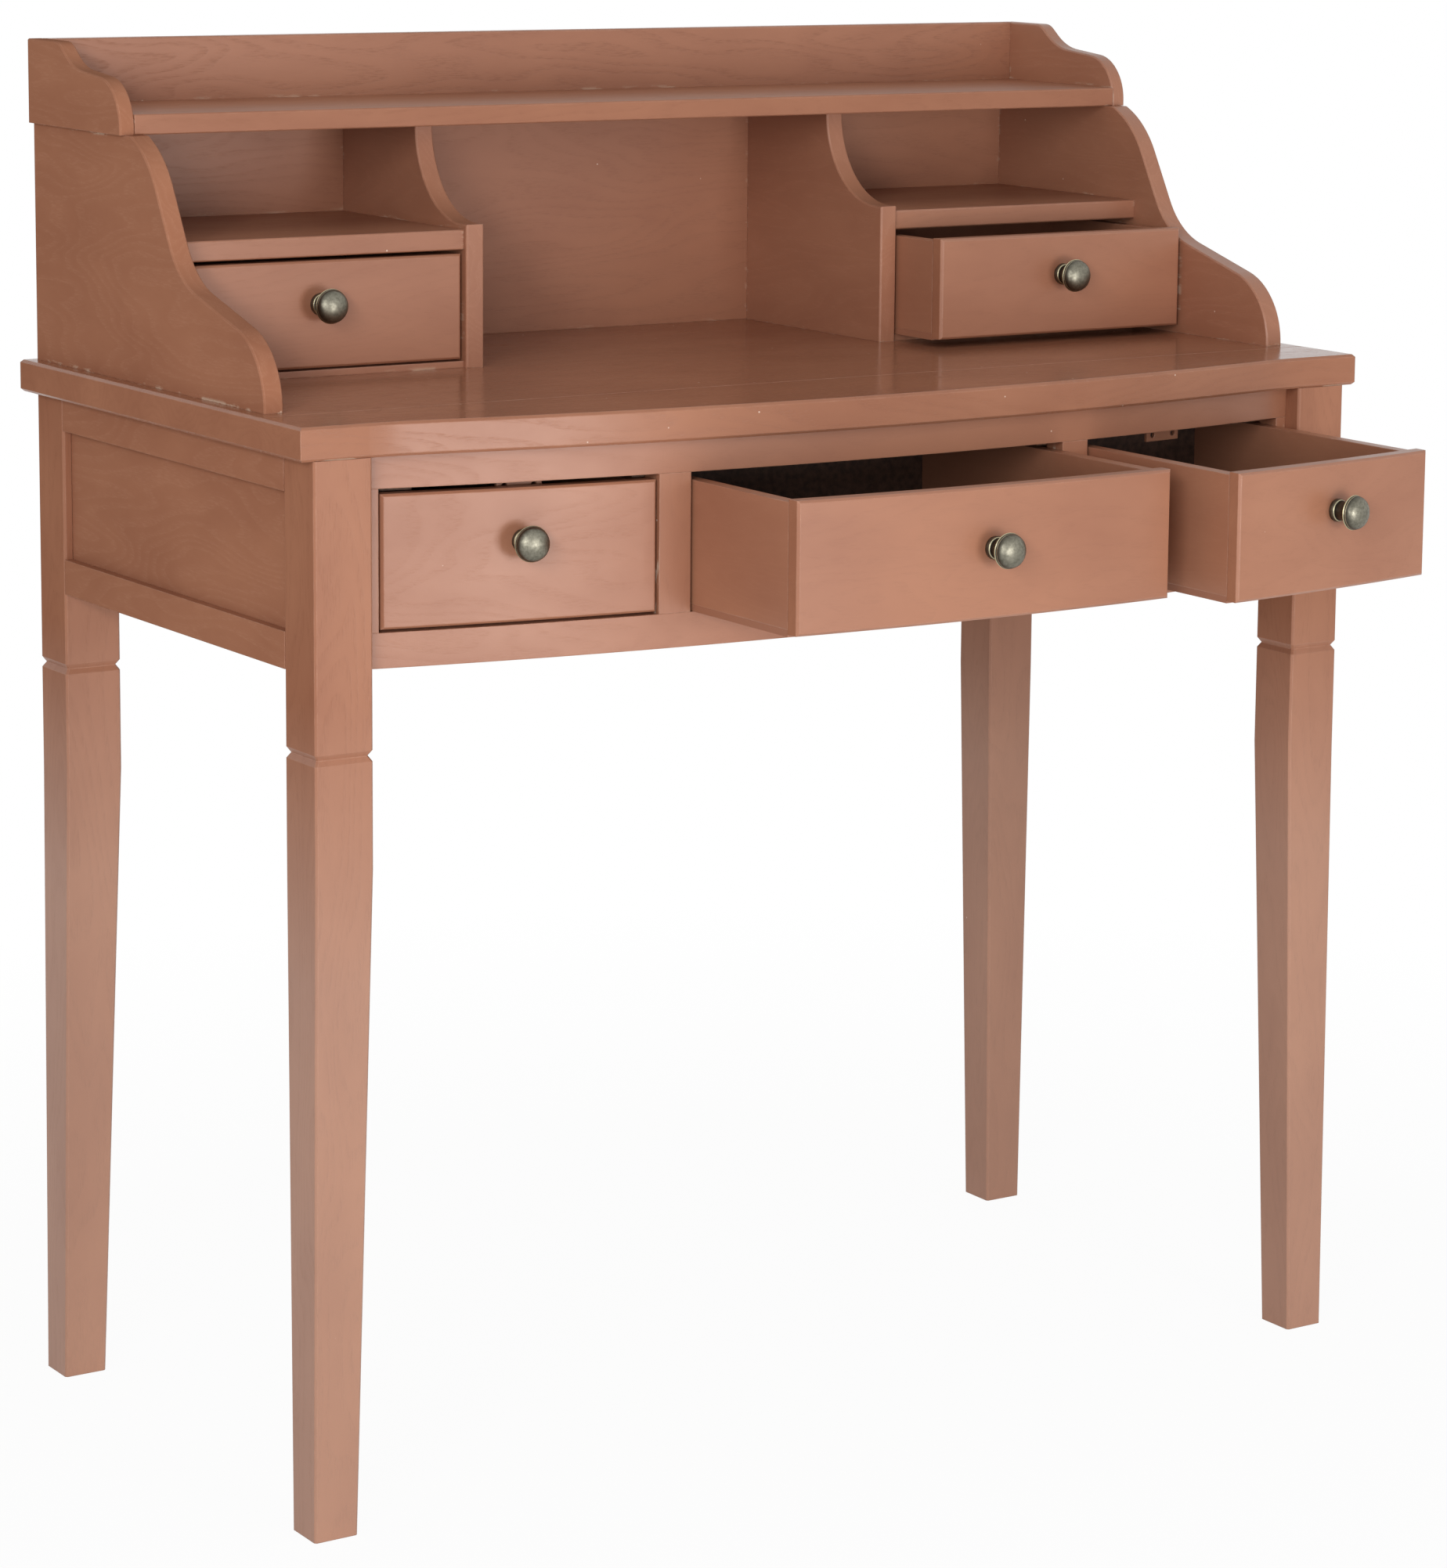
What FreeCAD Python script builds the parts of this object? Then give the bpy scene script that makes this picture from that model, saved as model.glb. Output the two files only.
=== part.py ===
import FreeCAD
import Part
import math
import os

# Small writing desk: a bowed top on four tapered legs, three drawers below it and a hutch with two more.
# Millimetres. +X is the sitter's right, -Y faces the sitter, +Z is up.
# Sizes are laid out from the middle of the top. At the end all moves so that the origin lies on the floor
# under the middle of the whole desk, with its drawers drawn out as at rest.

# Desk top
top_width = 930.0
top_depth = 458.0
top_thickness = 24.0
desk_height = 793.0
bow_overhang = 12.0
bow_blend_radius = 250.0
top_edge_ease = 2.0
top_joint_depth = 394.0
top_joint_width = 1.0

# Legs
leg_size = 45.0
foot_size = 34.0
foot_splay = 4.0
leg_side_inset = 10.5
leg_front_inset = 1.0
leg_back_inset = 7.0
groove_drop = 58.0
groove_width = 8.0
groove_depth = 2.5
taper_drop = 80.0
leg_ease = 1.5

# Apron frame
apron_height = 150.0
front_top_rail_height = 24.0
front_bottom_rail_height = 25.0
front_rail_depth = 20.0
rail_reveal = 15.5
bow_rise = 42.5
end_stile_width = 11.5
divider_width = 25.0
centre_bay_width = 329.0
side_top_rail_height = 25.5
side_bottom_rail_height = 26.5
side_rail_thickness = 20.0
panel_thickness = 8.0
panel_recess = 7.0
panel_groove_depth = 6.0
rear_apron_thickness = 15.0
rear_apron_reveal = 6.0
tenon_length = 15.0
tenon_thickness = 8.0
tenon_shoulder = 4.0
joint_clearance = 0.2
board_ease = 1.0

# Drawer runners, kickers and stops under the top
runner_height = 25.0
inner_runner_width = 60.0
kicker_width = 45.0
kicker_clearance = 1.5
runner_margin = 4.0
guide_clearance = 0.5
guide_height = 12.0
stop_plate_width = 34.0
stop_plate_height = 30.0
stop_plate_thickness = 3.0
stop_plate_drop = 10.5
stop_plate_offset = 8.0
stop_hole_spacing = 22.0
stop_hole_diameter = 4.5
stop_hole_rise = 5.0

# Hutch
hutch_side_inset = 12.0
hutch_back_inset = 5.0
hutch_height = 179.0
hutch_depth = 376.0
hutch_side_thickness = 15.0
ogee_top_depth = 168.0
ogee_shoulder_depth = 194.0
ogee_shoulder_drop = 11.5
ogee_shoulder_reach = 26.0
ogee_waist_depth = 243.0
ogee_waist_height = 81.0
ogee_waist_reach = 28.0
ogee_toe_height = 44.0
ogee_toe_reach = 42.5
hutch_back_thickness = 8.0
hutch_divider_thickness = 15.0
hutch_divider_depth = 204.0
hutch_divider_front_height = 108.0
hutch_divider_flat = 8.0
hutch_centre_width = 362.0
shelf_thickness = 15.0
shelf_setback = 4.0
upper_bay_height = 84.0
hutch_floor_thickness = 5.0
hutch_top_thickness = 15.0
gallery_height = 63.0
gallery_thickness = 12.0
gallery_overhang = 4.0
gallery_depth = 158.0
gallery_flat = 54.0
gallery_flat_reach = 6.0
gallery_hollow_depth = 78.0
gallery_hollow_drop = 18.0
gallery_hollow_reach = 15.0
gallery_nose_drop = 25.5
gallery_nose_reach = 33.0

# Drawers
drawer_front_thickness = 12.0
drawer_side_thickness = 10.0
drawer_back_thickness = 10.0
drawer_bottom_thickness = 5.0
drawer_side_drop = 2.0
drawer_side_extension = 60.0
drawer_front_ease = 1.8
running_clearance = 0.3
lower_side_gap = 2.0
lower_bottom_gap = 2.0
lower_top_gap = 4.0
lower_travel = 260.0
stop_clearance = 1.0
upper_side_gap = 2.0
upper_bottom_gap = 1.5
upper_top_gap = 3.0
upper_box_gap = 17.0
lower_centre_open = 135.0
lower_right_open = 180.5
upper_right_open = 64.0

# Knobs
knob_diameter = 25.4
knob_rosette_diameter = 16.5
knob_rosette_height = 3.0
knob_rosette_bevel = 1.0
knob_neck_base_diameter = 13.5
knob_neck_diameter = 11.5
knob_neck_length = 9.5
knob_flare_height = 2.5
knob_rim_height = 1.6
knob_dome_height = 6.8
knob_left_rise = 10.0
knob_centre_rise = 3.5
knob_right_rise = 12.0
knob_upper_rise = 7.5
knob_screw_diameter = 4.0
knob_screw_clearance = 0.3
knob_screw_head_diameter = 8.5
knob_screw_head_height = 2.2
knob_screw_seat = 0.02
knob_sides = 28
knob_dome_rings = 5
knob_flare_rings = 3

# Levels
top_under = desk_height - top_thickness
apron_bottom = top_under - apron_height
opening_bottom = apron_bottom + front_bottom_rail_height
opening_top = top_under - front_top_rail_height
groove_level = apron_bottom - groove_drop
taper_level = groove_level - taper_drop
hutch_top = desk_height + hutch_height
side_opening_bottom = apron_bottom + side_bottom_rail_height
side_opening_top = top_under - side_top_rail_height

# Plan of the desk
front_end = -top_depth / 2.0
back_end = top_depth / 2.0
leg_outer = top_width / 2.0 - leg_side_inset
leg_inner = leg_outer - leg_size
leg_front = front_end + leg_front_inset
leg_back = back_end - leg_back_inset
rail_end = leg_front + rail_reveal
bow_radius = (leg_inner ** 2 + bow_rise ** 2) / (2.0 * bow_rise)
bow_centre = rail_end - bow_rise + bow_radius
centre_bay = centre_bay_width / 2.0
side_bay_inner = centre_bay + divider_width
side_bay_outer = leg_inner - end_stile_width
rear_apron_back = leg_back - rear_apron_reveal
rear_apron_front = rear_apron_back - rear_apron_thickness

# Plan of the hutch
hutch_outer = top_width / 2.0 - hutch_side_inset
hutch_inner = hutch_outer - hutch_side_thickness
hutch_rear = back_end - hutch_back_inset
hutch_back_face = hutch_rear - hutch_back_thickness
hutch_centre = hutch_centre_width / 2.0
upper_bay_inner = hutch_centre + hutch_divider_thickness
hutch_divider_front = hutch_rear - hutch_divider_depth
shelf_front = hutch_divider_front + shelf_setback
shelf_level = desk_height + hutch_floor_thickness + upper_bay_height
gallery_outer = hutch_outer + gallery_overhang
gallery_inner = gallery_outer - gallery_thickness
gallery_front = hutch_rear - gallery_depth
gallery_back_face = hutch_rear - gallery_thickness


def vec(x, y, z):
    return FreeCAD.Vector(x, y, z)


def box(x0, x1, y0, y1, z0, z1):
    return Part.makeBox(x1 - x0, y1 - y0, z1 - z0, vec(x0, y0, z0))


def rod(diameter, start, direction, length):
    return Part.makeCylinder(diameter / 2.0, length, start, direction)


def eased(shape, size, chosen):
    """Breaks the chosen edges with a small flat."""
    return shape.makeChamfer(size, [edge for edge in shape.Edges if chosen(edge.BoundBox)])


def bow_y(x, forward):
    """Y of the bow at x, on the arc that lies `forward` in front of the rails' faces."""
    return bow_centre - math.sqrt((bow_radius + forward) ** 2 - x ** 2)


def bow_edge(x0, x1, forward, z):
    ends = [vec(x, bow_y(x, forward), z) for x in (x0, (x0 + x1) / 2.0, x1)]
    return Part.Arc(*ends).toShape()


def bowed(x0, x1, front, back, z0, z1):
    """Board between two arcs of the bow."""
    first = bow_edge(x0, x1, front, z0)
    last = bow_edge(x1, x0, back, z0)
    right = Part.makeLine(first.Vertexes[-1].Point, vec(x1, bow_y(x1, back), z0))
    left = Part.makeLine(vec(x0, bow_y(x0, back), z0), vec(x0, bow_y(x0, front), z0))
    return Part.Face(Part.Wire([first, right, last, left])).extrude(vec(0, 0, z1 - z0))


def behind_bow(shape, forward):
    """Cuts a shape off along an arc of the bow and keeps what lies behind it."""
    limits = shape.BoundBox
    start = vec(0, bow_centre, limits.ZMin - 1.0)
    return shape.common(rod(2.0 * (bow_radius + forward), start, vec(0, 0, 1), limits.ZLength + 2.0))


def in_plate(point, x, rear, base):
    """A point given by its depth from the rear and its height, in the plane of an upright plate."""
    return vec(x, rear - point[0], base + point[1])


def toward(start, end, length):
    """The point at `length` from the start on the way to the end."""
    share = length / math.dist(start, end)
    return (start[0] + (end[0] - start[0]) * share, start[1] + (end[1] - start[1]) * share)


def rounded(points, reaches):
    """Lines and arcs along the points, each inner corner rounded off over its reach to both sides."""
    pieces = []
    start = points[0]
    for corner, after, reach in zip(points[1:], points[2:], reaches):
        reach = min(reach, math.dist(start, corner), math.dist(corner, after))
        first = toward(corner, start, reach)
        last = toward(corner, after, reach)
        between = ((first[0] + last[0]) / 2.0, (first[1] + last[1]) / 2.0)
        radius = reach * math.dist(first, between) / math.dist(corner, between)
        middle = toward(corner, between, math.hypot(reach, radius) - radius)
        pieces += [[start, first], [first, middle, last]]
        start = last
    pieces.append([start, points[-1]])
    return [piece for piece in pieces if math.dist(piece[0], piece[-1]) > 0.01]


def plate(outline, x, thickness, rear, base):
    """Upright plate: an outline of lines (two points) and arcs (three points), thickened along +X."""
    edges = []
    for piece in outline:
        places = [in_plate(point, x, rear, base) for point in piece]
        if len(places) == 3:
            edges.append(Part.Arc(*places).toShape())
        else:
            edges.append(Part.makeLine(*places))
    return Part.Face(Part.Wire(edges)).extrude(vec(thickness, 0, 0))


def along_front(limits, lowest, rearmost):
    """True for an edge of a plate's front or top, not for one across it or on its seat."""
    if limits.XLength > 0.01:
        return False
    return limits.ZMax > lowest + 0.01 and limits.YMin < rearmost - 0.01


def mirrored(shape):
    return shape.mirror(vec(0, 0, 0), vec(1, 0, 0))


def leg_section(size, inset, splay, level):
    """Square with eased corners, drawn in by `inset` all round and moved outwards by `splay`."""
    low = inset
    high = size - inset
    ease = leg_ease
    corners = [
        (low + ease, low),
        (high - ease, low),
        (high, low + ease),
        (high, high - ease),
        (high - ease, high),
        (low + ease, high),
        (low, high - ease),
        (low, low + ease),
    ]
    places = [vec(x - splay, y, level) for x, y in corners]
    return Part.makePolygon(places + places[:1])


def leg():
    """Leg with its outer corner at the origin, growing towards +X and +Y."""
    stations = [
        (foot_size, 0.0, foot_splay, 0.0),
        (leg_size, 0.0, 0.0, taper_level),
        (leg_size, 0.0, 0.0, groove_level - groove_width / 2.0),
        (leg_size, groove_depth, 0.0, groove_level),
        (leg_size, 0.0, 0.0, groove_level + groove_width / 2.0),
        (leg_size, 0.0, 0.0, top_under),
    ]
    return Part.makeLoft([leg_section(*station) for station in stations], True, True)


def tenoned(body, tenons):
    for tenon in tenons:
        body = body.fuse(tenon)
    return body.removeSplitter()


def mortised(body, tenons):
    """Cuts a pocket for each tenon, a little larger than the tenon all round."""
    room = joint_clearance
    for tenon in tenons:
        size = tenon.BoundBox
        body = body.cut(
            box(
                size.XMin - room,
                size.XMax + room,
                size.YMin - room,
                size.YMax + room,
                size.ZMin - room,
                size.ZMax + room,
            )
        )
    return body


def front_tenon(low, high):
    """Tenon at the right end of a front rail."""
    middle = rail_end + front_rail_depth / 2.0
    return box(
        leg_inner,
        leg_inner + tenon_length,
        middle - tenon_thickness / 2.0,
        middle + tenon_thickness / 2.0,
        low + tenon_shoulder,
        high - tenon_shoulder,
    )


def side_tenons(low, high):
    """Tenons at both ends of the right side rail."""
    middle = leg_outer - side_rail_thickness / 2.0
    tenons = []
    for start in (leg_front + leg_size - tenon_length, leg_back - leg_size):
        tenons.append(
            box(
                middle - tenon_thickness / 2.0,
                middle + tenon_thickness / 2.0,
                start,
                start + tenon_length,
                low + tenon_shoulder,
                high - tenon_shoulder,
            )
        )
    return tenons


def rear_tenon():
    middle = rear_apron_back - rear_apron_thickness / 2.0
    return box(
        leg_inner,
        leg_inner + tenon_length,
        middle - tenon_thickness / 2.0,
        middle + tenon_thickness / 2.0,
        apron_bottom + tenon_shoulder,
        top_under - tenon_shoulder,
    )


nodes = {}

# Desk top: straight at the ends and bowed between them, a hollow sweep leading from one to the other
half_width = top_width / 2.0
edge_radius = bow_radius + bow_overhang
blend_middle = front_end - bow_blend_radius
straight_end = math.sqrt((edge_radius + bow_blend_radius) ** 2 - (bow_centre - blend_middle) ** 2)
bow_end = straight_end * edge_radius / (edge_radius + bow_blend_radius)
blend_x = (straight_end + bow_end) / 2.0
blend_y = blend_middle + math.sqrt(bow_blend_radius ** 2 - (straight_end - blend_x) ** 2)
top_corners = [
    vec(straight_end, front_end, top_under),
    vec(half_width, front_end, top_under),
    vec(half_width, back_end, top_under),
    vec(-half_width, back_end, top_under),
    vec(-half_width, front_end, top_under),
    vec(-straight_end, front_end, top_under),
]
top_edges = [Part.makeLine(a, b) for a, b in zip(top_corners, top_corners[1:])]
bow_corner = vec(bow_end, bow_y(bow_end, bow_overhang), top_under)
blend = Part.Arc(bow_corner, vec(blend_x, blend_y, top_under), top_corners[0]).toShape()
top_edges += [mirrored(blend), bow_edge(-bow_end, bow_end, bow_overhang, top_under), blend]
desk_top = Part.Face(Part.Wire(top_edges)).extrude(vec(0, 0, top_thickness))
desk_top = eased(desk_top, top_edge_ease, lambda limits: limits.ZLength < 0.01)

# Shallow V line where the two boards of the top meet
joint_line = back_end - top_joint_depth
joint_half = top_joint_width / 2.0
joint_corners = [
    vec(-half_width, joint_line - joint_half, desk_height),
    vec(-half_width, joint_line, desk_height - joint_half),
    vec(-half_width, joint_line + joint_half, desk_height),
]
joint_face = Part.Face(Part.makePolygon(joint_corners + joint_corners[:1]))
nodes["desk_top"] = desk_top.cut(joint_face.extrude(vec(top_width, 0, 0)))

# Legs, rails and panels; the right half is made first and the left half is its mirror image
panel_face = leg_outer - panel_recess
panel = box(
    panel_face - panel_thickness,
    panel_face,
    leg_front + leg_size - panel_groove_depth,
    leg_back - leg_size + panel_groove_depth,
    side_opening_bottom - panel_groove_depth,
    side_opening_top + panel_groove_depth,
)
panel_groove = box(
    panel_face - panel_thickness - joint_clearance,
    panel_face + joint_clearance,
    leg_front + leg_size - panel_groove_depth - joint_clearance,
    leg_back - leg_size + panel_groove_depth + joint_clearance,
    side_opening_bottom - panel_groove_depth,
    side_opening_top + panel_groove_depth + joint_clearance,
)
upper_side_tenons = side_tenons(side_opening_top, top_under)
lower_side_tenons = side_tenons(apron_bottom, side_opening_bottom)
upper_front_tenon = front_tenon(opening_top, top_under)
lower_front_tenon = front_tenon(apron_bottom, opening_bottom)
back_tenon = rear_tenon()

front_leg = mirrored(leg())
front_leg.translate(vec(leg_outer, leg_front, 0))
front_leg = mortised(
    front_leg,
    [upper_front_tenon, lower_front_tenon, upper_side_tenons[0], lower_side_tenons[0]],
)
rear_leg = leg()
rear_leg.rotate(vec(0, 0, 0), vec(0, 0, 1), 180)
rear_leg.translate(vec(leg_outer, leg_back, 0))
rear_leg = mortised(rear_leg, [back_tenon, upper_side_tenons[1], lower_side_tenons[1]])

side_start = leg_front + leg_size
side_end = leg_back - leg_size
side_inner = leg_outer - side_rail_thickness
side_top_rail = box(side_inner, leg_outer, side_start, side_end, side_opening_top, top_under)
side_bottom_rail = box(side_inner, leg_outer, side_start, side_end, apron_bottom, side_opening_bottom)
right_half = {
    "leg_front": front_leg.cut(panel_groove),
    "leg_rear": rear_leg.cut(panel_groove),
    "side_top_rail": tenoned(side_top_rail, upper_side_tenons).cut(panel_groove),
    "side_bottom_rail": tenoned(side_bottom_rail, lower_side_tenons).cut(panel_groove),
    "side_panel": panel,
    "front_divider": bowed(centre_bay, side_bay_inner, 0, -front_rail_depth, opening_bottom, opening_top),
}

for name, low, high, tenon in (
    ("front_top_rail", opening_top, top_under, upper_front_tenon),
    ("front_bottom_rail", apron_bottom, opening_bottom, lower_front_tenon),
):
    rail = bowed(-leg_inner, leg_inner, 0, -front_rail_depth, low, high)
    nodes[name] = tenoned(rail, [tenon, mirrored(tenon)])

end_stile = bowed(side_bay_outer, leg_inner, 0, -front_rail_depth, opening_bottom, opening_top)
nodes["front_end_stiles"] = Part.makeCompound([end_stile, mirrored(end_stile)])

rear_apron = box(-leg_inner, leg_inner, rear_apron_front, rear_apron_back, apron_bottom, top_under)
nodes["rear_apron"] = tenoned(rear_apron, [back_tenon, mirrored(back_tenon)])

# Runners and kickers reach from the front rails to the rear apron
lower_seat = opening_bottom
lower_side_top = opening_top - lower_top_gap - drawer_side_drop
kicker_under = lower_side_top + kicker_clearance
outer_runner_inner = side_bay_outer - lower_side_gap - drawer_side_thickness - runner_margin
divider_middle = (centre_bay + side_bay_inner) / 2.0


def batten(x0, x1, z0, z1):
    """Batten from the back of a front rail to the rear apron."""
    start = bow_y(0, -front_rail_depth)
    return behind_bow(box(x0, x1, start, rear_apron_front, z0, z1), -front_rail_depth)


outer_runner = batten(outer_runner_inner, leg_inner, lower_seat - runner_height, lower_seat)
outer_guide_x = side_bay_outer - lower_side_gap + guide_clearance
outer_guide = batten(outer_guide_x, leg_inner, lower_seat, lower_seat + guide_height)
nodes["drawer_runners_outer"] = Part.makeCompound(
    [outer_runner, outer_guide, mirrored(outer_runner), mirrored(outer_guide)]
)
inner_runner = batten(
    divider_middle - inner_runner_width / 2.0,
    divider_middle + inner_runner_width / 2.0,
    lower_seat - runner_height,
    lower_seat,
)
inner_guide = batten(
    centre_bay - lower_side_gap + guide_clearance,
    side_bay_inner + lower_side_gap - guide_clearance,
    lower_seat,
    lower_seat + guide_height,
)
nodes["drawer_runners_inner"] = Part.makeCompound(
    [inner_runner, inner_guide, mirrored(inner_runner), mirrored(inner_guide)]
)
inner_kicker = batten(
    divider_middle - kicker_width / 2.0,
    divider_middle + kicker_width / 2.0,
    kicker_under,
    top_under,
)
outer_kicker = batten(leg_inner - kicker_width, leg_inner, kicker_under, top_under)
nodes["drawer_kickers"] = Part.makeCompound(
    [outer_kicker, mirrored(outer_kicker), inner_kicker, mirrored(inner_kicker)]
)

# Stop plates on the back of the front top rail, one over each outer drawer
stop_middle = (side_bay_inner + side_bay_outer) / 2.0 - stop_plate_offset
stop_low = opening_top - stop_plate_drop
stop_back = -front_rail_depth - stop_plate_thickness
stop_plates = []
for middle in (-stop_middle, stop_middle):
    x0 = middle - stop_plate_width / 2.0
    x1 = middle + stop_plate_width / 2.0
    stop_plate = bowed(x0, x1, -front_rail_depth, stop_back, stop_low, stop_low + stop_plate_height)
    for x in (middle - stop_hole_spacing / 2.0, middle + stop_hole_spacing / 2.0):
        start = vec(x, bow_y(x, 0), stop_low + stop_hole_rise)
        stop_plate = stop_plate.cut(rod(stop_hole_diameter, start, vec(0, 1, 0), 2.0 * front_rail_depth))
    stop_plates.append(stop_plate)
nodes["drawer_stop_plates"] = Part.makeCompound(stop_plates)

# Hutch sides with the ogee front
ogee_points = [
    (ogee_top_depth, hutch_height),
    (ogee_shoulder_depth, hutch_height - ogee_shoulder_drop),
    (ogee_waist_depth, ogee_waist_height),
    (hutch_depth, ogee_toe_height),
    (hutch_depth, 0.0),
]
side_outline = [[(0.0, 0.0), (0.0, hutch_height)], [(0.0, hutch_height), ogee_points[0]]]
side_outline += rounded(ogee_points, [ogee_shoulder_reach, ogee_waist_reach, ogee_toe_reach])
side_outline.append([ogee_points[-1], (0.0, 0.0)])
hutch_side = plate(side_outline, hutch_inner, hutch_side_thickness, hutch_rear, desk_height)
right_half["hutch_side"] = eased(
    hutch_side,
    board_ease,
    lambda limits: along_front(limits, desk_height, hutch_rear) and limits.ZMin < hutch_top - 0.01,
)

# Hutch dividers with a hollow upper corner
scoop = hutch_height - hutch_divider_front_height
hollow_start = (hutch_divider_depth - hutch_divider_flat, hutch_divider_front_height)
hollow_end = (hollow_start[0] - scoop, hutch_height)
turn = math.sqrt(0.5) * scoop
hollow_middle = (hollow_start[0] - turn, hutch_height - turn)
divider_outline = [
    [(hutch_back_thickness, 0.0), (hutch_back_thickness, hutch_height)],
    [(hutch_back_thickness, hutch_height), hollow_end],
    [hollow_end, hollow_middle, hollow_start],
    [hollow_start, (hutch_divider_depth, hutch_divider_front_height)],
    [(hutch_divider_depth, hutch_divider_front_height), (hutch_divider_depth, 0.0)],
    [(hutch_divider_depth, 0.0), (hutch_back_thickness, 0.0)],
]
hutch_divider = plate(divider_outline, hutch_centre, hutch_divider_thickness, hutch_rear, desk_height)
right_half["hutch_divider"] = eased(
    hutch_divider,
    board_ease,
    lambda limits: along_front(limits, desk_height, hutch_back_face) and limits.ZMin < hutch_top - 0.01,
)

# Boards of the hutch
nodes["hutch_back"] = box(-hutch_inner, hutch_inner, hutch_back_face, hutch_rear, desk_height, hutch_top)
small_shelf = box(
    upper_bay_inner,
    hutch_inner,
    shelf_front,
    hutch_back_face,
    shelf_level,
    shelf_level + shelf_thickness,
)
right_half["small_shelf"] = eased(
    small_shelf,
    board_ease,
    lambda limits: limits.YMax < shelf_front + 0.01 and limits.XLength > 1.0,
)
hutch_floor = box(
    upper_bay_inner,
    hutch_inner,
    shelf_front,
    hutch_back_face,
    desk_height,
    desk_height + hutch_floor_thickness,
)
nodes["hutch_floors"] = Part.makeCompound([hutch_floor, mirrored(hutch_floor)])
hutch_top_shelf = box(
    -gallery_inner,
    gallery_inner,
    gallery_front,
    gallery_back_face,
    hutch_top,
    hutch_top + hutch_top_thickness,
)
nodes["hutch_top_shelf"] = eased(
    hutch_top_shelf,
    board_ease,
    lambda limits: limits.YMax < gallery_front + 0.01 and limits.XLength > 1.0,
)

# Gallery round the top shelf
gallery_points = [
    (0.0, gallery_height),
    (gallery_flat, gallery_height),
    (gallery_hollow_depth, gallery_height - gallery_hollow_drop),
    (gallery_depth, gallery_height - gallery_nose_drop),
    (gallery_depth, 0.0),
]
gallery_outline = [[(0.0, 0.0), gallery_points[0]]]
gallery_outline += rounded(gallery_points, [gallery_flat_reach, gallery_hollow_reach, gallery_nose_reach])
gallery_outline.append([gallery_points[-1], (0.0, 0.0)])
gallery_side = plate(gallery_outline, gallery_inner, gallery_thickness, hutch_rear, hutch_top)
right_half["gallery_side"] = eased(
    gallery_side,
    board_ease,
    lambda limits: along_front(limits, hutch_top, hutch_rear),
)
gallery_back = box(
    -gallery_inner,
    gallery_inner,
    gallery_back_face,
    hutch_rear,
    hutch_top,
    hutch_top + gallery_height,
)
nodes["gallery_back"] = eased(
    gallery_back,
    board_ease,
    lambda limits: limits.ZMin > hutch_top + 0.01 and limits.XLength > 1.0,
)

for name, shape in right_half.items():
    nodes[name + "_right"] = shape
    nodes[name + "_left"] = mirrored(shape)


def facet(corners):
    return Part.Face(Part.makePolygon(corners + corners[:1]))


def turned(stations):
    """Turned piece along -Y through rings given by radius and distance from the origin."""
    turns = [2.0 * math.pi * step / knob_sides for step in range(knob_sides)]
    rings = []
    for radius, along in stations:
        rings.append([vec(radius * math.cos(turn), -along, radius * math.sin(turn)) for turn in turns])
    faces = [facet(rings[0]), facet(rings[-1])]
    for near, far in zip(rings, rings[1:]):
        for i in range(knob_sides):
            j = (i + 1) % knob_sides
            faces.append(facet([near[i], near[j], far[j], far[i]]))
    solid = Part.makeSolid(Part.makeShell(faces))
    if solid.Volume < 0:
        solid.reverse()
    return solid


def knob():
    """Knob on the origin pointing along -Y, drawn tight by its screw through the drawer front behind it."""
    rosette = knob_rosette_diameter / 2.0
    neck = knob_neck_diameter / 2.0
    rim = knob_diameter / 2.0
    shank = knob_screw_diameter / 2.0
    head = knob_screw_head_diameter / 2.0
    seat = drawer_front_thickness + knob_screw_seat
    neck_top = knob_rosette_height + knob_neck_length
    rim_low = neck_top + knob_flare_height
    rim_high = rim_low + knob_rim_height
    stations = [
        (head, -seat - knob_screw_head_height),
        (head, -seat),
        (shank, -seat),
        (shank, 0.0),
        (rosette, 0.0),
        (rosette, knob_rosette_height - knob_rosette_bevel),
        (rosette - knob_rosette_bevel, knob_rosette_height),
        (knob_neck_base_diameter / 2.0, knob_rosette_height),
        (neck, neck_top),
    ]
    for ring in range(1, knob_flare_rings + 1):
        turn = 0.5 * math.pi * ring / knob_flare_rings
        reach = 1.0 - math.cos(turn)
        stations.append((neck + (rim - neck) * reach, neck_top + knob_flare_height * math.sin(turn)))
    stations.append((rim, rim_high))
    sphere = (rim ** 2 + knob_dome_height ** 2) / (2.0 * knob_dome_height)
    edge_turn = math.asin(rim / sphere)
    for ring in range(1, knob_dome_rings):
        turn = edge_turn * (1.0 - ring / knob_dome_rings)
        rise = sphere * (math.cos(turn) - math.cos(edge_turn))
        stations.append((sphere * math.sin(turn), rim_high + rise))
    return turned(stations)


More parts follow.
